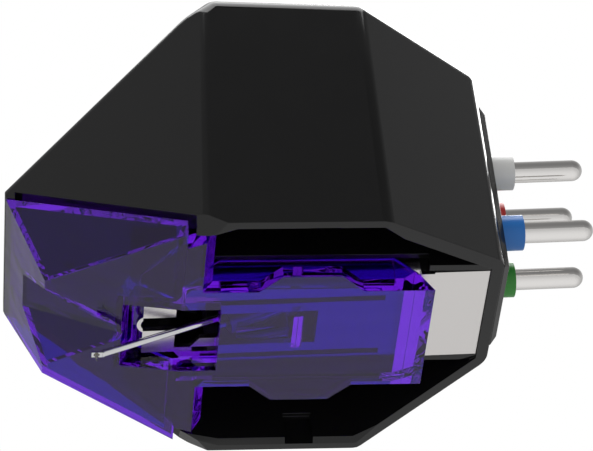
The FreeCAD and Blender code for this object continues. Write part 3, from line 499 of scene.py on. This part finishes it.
def threaded_insert(side):
    """Bore radius: root - depth * wave(down / pitch + turn), and never inside the mouth's chamfer."""
    name = "threaded_insert_" + side
    low, high = (np.array(corner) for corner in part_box(name))
    centre = (low + high) / 2
    half = (high - low) / 2
    length = high[2] - low[2]
    rows = round(length / THREAD_PITCH * POINTS_PER_PITCH) + 1
    down = np.linspace(0.0, length, rows)[:, None]
    turn = np.linspace(0.0, 1.0, INSERT_SIDES, endpoint=False)[None, :]
    thread = THREAD_ROOT_RADIUS - THREAD_DEPTH * thread_wave(down / THREAD_PITCH + turn)
    bore = np.maximum(thread, THREAD_ROOT_RADIUS + MOUTH_CHAMFER - down)
    angle = 2 * math.pi * turn
    outer = np.minimum(half[1], half[0] / np.maximum(np.abs(np.cos(angle)), SMALL_COSINE))
    radius = np.concatenate([bore, outer, outer])
    height = np.concatenate([high[2] - down, [[low[2]]], [[high[2]]]])
    rings = np.stack([
        centre[0] + radius * np.cos(angle),
        centre[1] + radius * np.sin(angle),
        np.broadcast_to(height, radius.shape),
    ], axis=-1)
    piece = ring_skin(name + "_thread", rings, metals["brass"], "cartridge_body")
    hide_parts(name)


for side in SIDES:
    threaded_insert(side)

# %% [markdown]
# ## The turns of the windings
# Fine enamelled wire is wound on each bobbin, turn beside turn. A real helix through all its
# layers would be thousands of faces that nobody sees. From outside, a winding is a rounded square
# bar whose half width swells once for each turn of the outermost layer, and that is what is made.
# The windings lie level with the rim of the body's open underside, which leans to the top face.

# %% Coil windings
RIM_TILT = math.radians(2.7)
AHEAD = np.array([math.cos(RIM_TILT), 0.0, math.sin(RIM_TILT)])
ACROSS = np.array([0.0, 1.0, 0.0])
ABOVE = np.array([-math.sin(RIM_TILT), 0.0, math.cos(RIM_TILT)])
WIRE_TURNS = 40
POINTS_PER_TURN = 4
WINDING_CORNER = 0.75 * MM
CORE_HALF_WIDTH = 0.80 * MM
CORE_CORNER = 0.05 * MM
CORNER_POINTS = 8
QUARTER_TURN = math.pi / 2


def rounded_squares(half, corner):
    """A ring for each half width: four arcs of radius corner about (+-1, +-1) * (half - corner)."""
    quarter = np.arange(4)[:, None] * QUARTER_TURN
    angle = quarter + np.linspace(0.0, QUARTER_TURN, CORNER_POINTS)
    arcs = corner * np.stack([np.cos(angle), np.sin(angle)], axis=-1)
    middle = quarter + QUARTER_TURN / 2
    centres = np.sign(np.stack([np.cos(middle), np.sin(middle)], axis=-1))
    rings = (half - corner)[:, None, None, None] * centres + arcs
    return rings.reshape(len(half), -1, 2)


def wound_coil(corner_name):
    """Half width along the axis: half - wire + sqrt(wire^2 - offset^2), from each turn's middle."""
    name = "coil_winding_" + corner_name
    low, high = (np.array(corner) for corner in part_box(name))
    half = (high[1] - low[1]) / 2
    length = (high[0] - low[0] - 2 * half * math.sin(RIM_TILT)) / math.cos(RIM_TILT)
    wire = length / WIRE_TURNS / 2
    along = np.linspace(-length / 2, length / 2, WIRE_TURNS * POINTS_PER_TURN + 1)
    offset = (along + length / 2) % (2 * wire) - wire
    swell = half - wire + np.sqrt(np.maximum(wire**2 - offset**2, 0.0))
    outside = rounded_squares(swell, WINDING_CORNER)
    inside = rounded_squares(np.full(2, CORE_HALF_WIDTH), CORE_CORNER)
    flat = np.concatenate([outside, inside])
    places = np.concatenate([along, [length / 2, -length / 2]])
    rings = (low + high) / 2 + places[:, None, None] * AHEAD
    rings = rings + flat[:, :, :1] * ACROSS + flat[:, :, 1:] * ABOVE
    copper = metals["enamelled_copper"]
    piece = ring_skin(name + "_turns", rings, copper, "cartridge_body")
    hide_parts(name)


for corner_name in CORNERS:
    wound_coil(corner_name)

# %% [markdown]
# ## The resin at the stylus
# The diamond is stuck under the cantilever's flat end. Resin creeps up a joint and leaves a
# small collar with a hollow side, widest at the flat end and thin where it stops on the diamond.
# A flattened ball would bulge where the real one is hollow, so the side is a parabola.

# %% Resin collar
RESIN = (0.16, 0.15, 0.12)
RESIN_IOR = 1.55
RESIN_ROUGHNESS = 0.18
COLLAR_RADIUS = 0.17 * MM
COLLAR_HEIGHT = 0.10 * MM
COLLAR_SINK = 0.02 * MM
COLLAR_STEPS = 8
COLLAR_SIDES = 32


def cured_resin():
    """Dark amber resin with a wet shine."""
    return start_material("cured_resin", RESIN, IOR=RESIN_IOR, Roughness=RESIN_ROUGHNESS)


def resin_collar():
    """Radius at height h: stylus + (collar - stylus) * (1 - h / height)^2; hidden inside: stylus / 2."""
    low, high = (np.array(corner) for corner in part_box("stylus_tip"))
    stylus = (high[1] - low[1]) / 2
    top = np.array([low[0] + stylus * math.cos(RIM_TILT), 0.0, high[2] - stylus * math.sin(RIM_TILT)])
    height = np.linspace(0.0, COLLAR_HEIGHT, COLLAR_STEPS)
    radius = stylus + (COLLAR_RADIUS - stylus) * (1.0 - height / COLLAR_HEIGHT) ** 2
    height = np.concatenate([[-COLLAR_SINK], height, [COLLAR_HEIGHT, -COLLAR_SINK]])
    radius = np.concatenate([[COLLAR_RADIUS], radius, [stylus / 2, stylus / 2]])
    angle = np.linspace(0.0, 2 * math.pi, COLLAR_SIDES, endpoint=False)
    circle = np.cos(angle)[:, None] * AHEAD + np.sin(angle)[:, None] * ACROSS
    rings = top - height[:, None, None] * ABOVE + radius[:, None, None] * circle
    ring_skin("resin_collar", rings, cured_resin(), "cantilever_arm")


resin_collar()

# %% [markdown]
# ## A white studio
# Whatever looks at the world straight, or through clear plastic, sees white. What the cartridge
# mirrors is dimmer, and it falls off smoothly towards one side, high above the camera, as the
# dark end of a studio does. That fall-off gives each facet of the black body its own grey. Light
# that ran along inside the clear plastic, and so took many turns, sees the dark end too. A
# picture of a studio could be wrapped round the world instead, but a sum on the direction has no
# grain and is tuned with a few numbers.

# %% A white studio
WHITE = (1.0, 1.0, 1.0)
FULL_LEVEL = 1.0
MIRRORED_LEVEL = 0.47
GUIDED_DEPTH = 6.5
DARK_SIDE = Vector((0.39, -0.67, 0.63)).normalized()
DARK_LEVEL = 0.36
DARK_START = 0.3
DARK_FULL = 1.1


def seen_straight(tree, path):
    """1 for the camera's rays, straight or through plastic in few turns, and 0 for all others."""
    few_turns = calculate(tree, "LESS_THAN", path.outputs["Ray Depth"], GUIDED_DEPTH)
    through = calculate(tree, "MULTIPLY", path.outputs["Is Transmission Ray"], few_turns)
    return calculate(tree, "MAXIMUM", path.outputs["Is Camera Ray"], through)


def light_fall_off(tree):
    """FULL_LEVEL down to DARK_LEVEL, as the dot product of a direction and DARK_SIDE rises."""
    direction = make_node(tree, "ShaderNodeTexCoord").outputs["Generated"]
    facing = make_node(tree, "ShaderNodeVectorMath", {"operation": "DOT_PRODUCT"})
    feed(tree, direction, facing.inputs[0])
    feed(tree, DARK_SIDE, facing.inputs[1])
    fall_off = make_node(
        tree, "ShaderNodeMapRange", {"interpolation_type": "SMOOTHSTEP"},
        From_Min=DARK_START, From_Max=DARK_FULL, To_Min=FULL_LEVEL, To_Max=DARK_LEVEL,
    )
    feed(tree, facing.outputs["Value"], fall_off.inputs["Value"])
    return fall_off.outputs["Result"]


def studio_world():
    """White where it is seen straight; elsewhere it falls off, and mirrors get MIRRORED_LEVEL of it."""
    world = bpy.data.worlds.new("studio")
    bpy.context.scene.world = world
    world.use_nodes = True
    tree = world.node_tree
    path = make_node(tree, "ShaderNodeLightPath")
    loss = MIRRORED_LEVEL - FULL_LEVEL
    dimmed = calculate(tree, "MULTIPLY_ADD", path.outputs["Is Glossy Ray"], loss, FULL_LEVEL)
    studio = calculate(tree, "MULTIPLY", light_fall_off(tree), dimmed)
    level = calculate(tree, "MAXIMUM", studio, seen_straight(tree, path))
    background = tree.nodes["Background"]
    feed(tree, (*WHITE, OPAQUE), background.inputs["Color"])
    feed(tree, level, background.inputs["Strength"])


studio_world()
bpy.context.scene.view_settings.view_transform = "Standard"
print("the world is white, and mirrors show", MIRRORED_LEVEL, "of it")

# %% [markdown]
# ## Two softboxes
# A large softbox hangs above, a little to the camera's side, and lights the fillet along the top.
# A small one stands above on the far side, towards the pins: it is placed where the round rear
# edge mirrors it, and draws the white line there. Both leave out the pins, whose upper sides
# mirror a dark ceiling. Point lamps would give hard spots; area lamps give the soft edges of a
# real softbox.

# %% Two softboxes
LAMP_DISTANCE = 400.0 * MM
SOFTBOXES = {
    "overhead_softbox": {"towards": (0.04, -0.16, 0.985), "size": 400.0 * MM, "power": 1.5},
    "rear_softbox": {"towards": (0.42, 0.48, 0.77), "size": 220.0 * MM, "power": 1.0},
}


def softbox(name, towards, size, power):
    """A square area lamp that shines on the cartridge from that side and is only seen mirrored."""
    data = bpy.data.lights.new(name, "AREA")
    data.size = size
    data.energy = power
    lamp = new_object(name, data)
    place = Vector(towards).normalized() * LAMP_DISTANCE
    lamp.location = place
    lamp.rotation_mode = "QUATERNION"
    lamp.rotation_quaternion = (-place).to_track_quat("-Z", "Y")
    lamp.visible_camera = False
    lamp.visible_transmission = False
    print(name, "gives", power, "W")
    return lamp


def keep_off(lamp, names):
    """The lamp leaves out these solids, as a black card beside it would."""
    shaded = bpy.data.collections.new(lamp.name + "_shaded")
    for name in names:
        shaded.objects.link(nodes[name])
    lamp.light_linking.receiver_collection = shaded
    for member in shaded.collection_objects:
        member.light_linking.link_state = "EXCLUDE"


for lamp in [softbox(name, **settings) for name, settings in SOFTBOXES.items()]:
    keep_off(lamp, PINS)

# %% [markdown]
# ## A pale floor
# The camera looks up from below, so the undersides mirror the floor and are lit by it. It is a
# wide disc of pale paper, far enough down to throw no shadow, and it glows where it is seen
# straight or through clear plastic, so that it joins the white world without a line. A brighter
# paper would join it too, but it would throw more light on the object. Light that took many turns
# inside the plastic doesn't see that glow.

# %% A pale floor
FLOOR_Z = -400.0 * MM
FLOOR_RADIUS = 6000.0 * MM
FLOOR_SIDES = 64
PAPER = (0.62, 0.62, 0.62)
PAPER_ROUGHNESS = 0.9
PAPER_GLOW = 0.55
PAPER_MIRRORED_GLOW = 0.055


def pale_paper():
    """Matt paper with PAPER_GLOW where it is seen straight and a little glow where it is mirrored."""
    material = start_material("pale_paper", PAPER, Roughness=PAPER_ROUGHNESS)
    tree = material.node_tree
    path = make_node(tree, "ShaderNodeLightPath")
    mirrored = calculate(tree, "MULTIPLY", path.outputs["Is Glossy Ray"], PAPER_MIRRORED_GLOW)
    glow = calculate(tree, "MULTIPLY_ADD", seen_straight(tree, path), PAPER_GLOW, mirrored)
    shader = tree.nodes[SHADER]
    feed(tree, (*WHITE, OPAQUE), shader.inputs["Emission Color"])
    feed(tree, glow, shader.inputs["Emission Strength"])
    return material


def pale_floor():
    """A disc in one face: radius * (cos turn, sin turn) at FLOOR_Z, with FLOOR_SIDES corners."""
    turn = np.linspace(0.0, 2 * math.pi, FLOOR_SIDES, endpoint=False)
    height = np.full(FLOOR_SIDES, FLOOR_Z)
    rim = np.stack([FLOOR_RADIUS * np.cos(turn), FLOOR_RADIUS * np.sin(turn), height], axis=1)
    mesh = bpy.data.meshes.new("floor")
    mesh.from_pydata(rim.tolist(), [], [list(range(FLOOR_SIDES))])
    mesh.materials.append(pale_paper())
    floor = new_object("floor", mesh)
    print("the floor is", FLOOR_RADIUS, "m in radius, at", FLOOR_Z, "m")


pale_floor()

# %% [markdown]
# ## Light that runs along inside
# The holder's walls are thin, and light that enters one at a slant is turned back by its faces
# again and again before it leaves. With few bounces those paths end in black, and the bright
# violet lines along the edges are lost. Glowing edges could be painted on, but they would stay
# where they are when the view turns, so the paths are long instead.

# %% Long light paths
LONG_PATH = 32
cycles = bpy.context.scene.cycles
cycles.max_bounces = LONG_PATH
cycles.glossy_bounces = LONG_PATH
cycles.transmission_bounces = LONG_PATH
print("light may turn", LONG_PATH, "times")

# %% [markdown]
# ## The camera
# The camera was fitted to the photograph. It stands on the side of the white and blue sleeves, a
# little towards the nose and 42 degrees below the level, and looks up. Its long lens keeps the
# far edges nearly as large as the near ones. Its place could be typed in as three numbers, but
# two angles, a distance and a lean say more plainly where it stands.

# %% The camera
TARGET = Vector((2.606, 0.0, -8.557)) * MM
CAMERA_ELEVATION = math.radians(-41.544)
CAMERA_AZIMUTH = math.radians(-6.141)
CAMERA_ROLL = math.radians(2.631)
CAMERA_DISTANCE = 187.5 * MM
CAMERA_LENS = 200.34
SENSOR_WIDTH = 36.0
NEAREST_SEEN = 10.0 * MM


def photograph_camera():
    """Stands at target + back * distance, looks along -back, and leans by the roll."""
    data = bpy.data.cameras.new("camera")
    data.lens = CAMERA_LENS
    data.sensor_width = SENSOR_WIDTH
    data.clip_start = NEAREST_SEEN
    camera = new_object("camera", data)
    reach = math.cos(CAMERA_ELEVATION)
    back = Vector((
        math.sin(CAMERA_AZIMUTH) * reach,
        -math.cos(CAMERA_AZIMUTH) * reach,
        math.sin(CAMERA_ELEVATION),
    ))
    level = Vector((math.cos(CAMERA_AZIMUTH), math.sin(CAMERA_AZIMUTH), 0.0))
    steep = back.cross(level)
    right = level * math.cos(CAMERA_ROLL) - steep * math.sin(CAMERA_ROLL)
    up = level * math.sin(CAMERA_ROLL) + steep * math.cos(CAMERA_ROLL)
    place = Matrix((right, up, back)).transposed().to_4x4()
    place.translation = TARGET + back * CAMERA_DISTANCE
    camera.matrix_world = place
    bpy.context.scene.camera = camera
    print("the camera stands", round(CAMERA_DISTANCE / MM, 1), "mm from", TARGET)


photograph_camera()

# %% [markdown]
# ## The last line
# The last line brings the view layer up to date, so that every piece stands where its body puts it.

# %% The last line
bpy.context.view_layer.update()
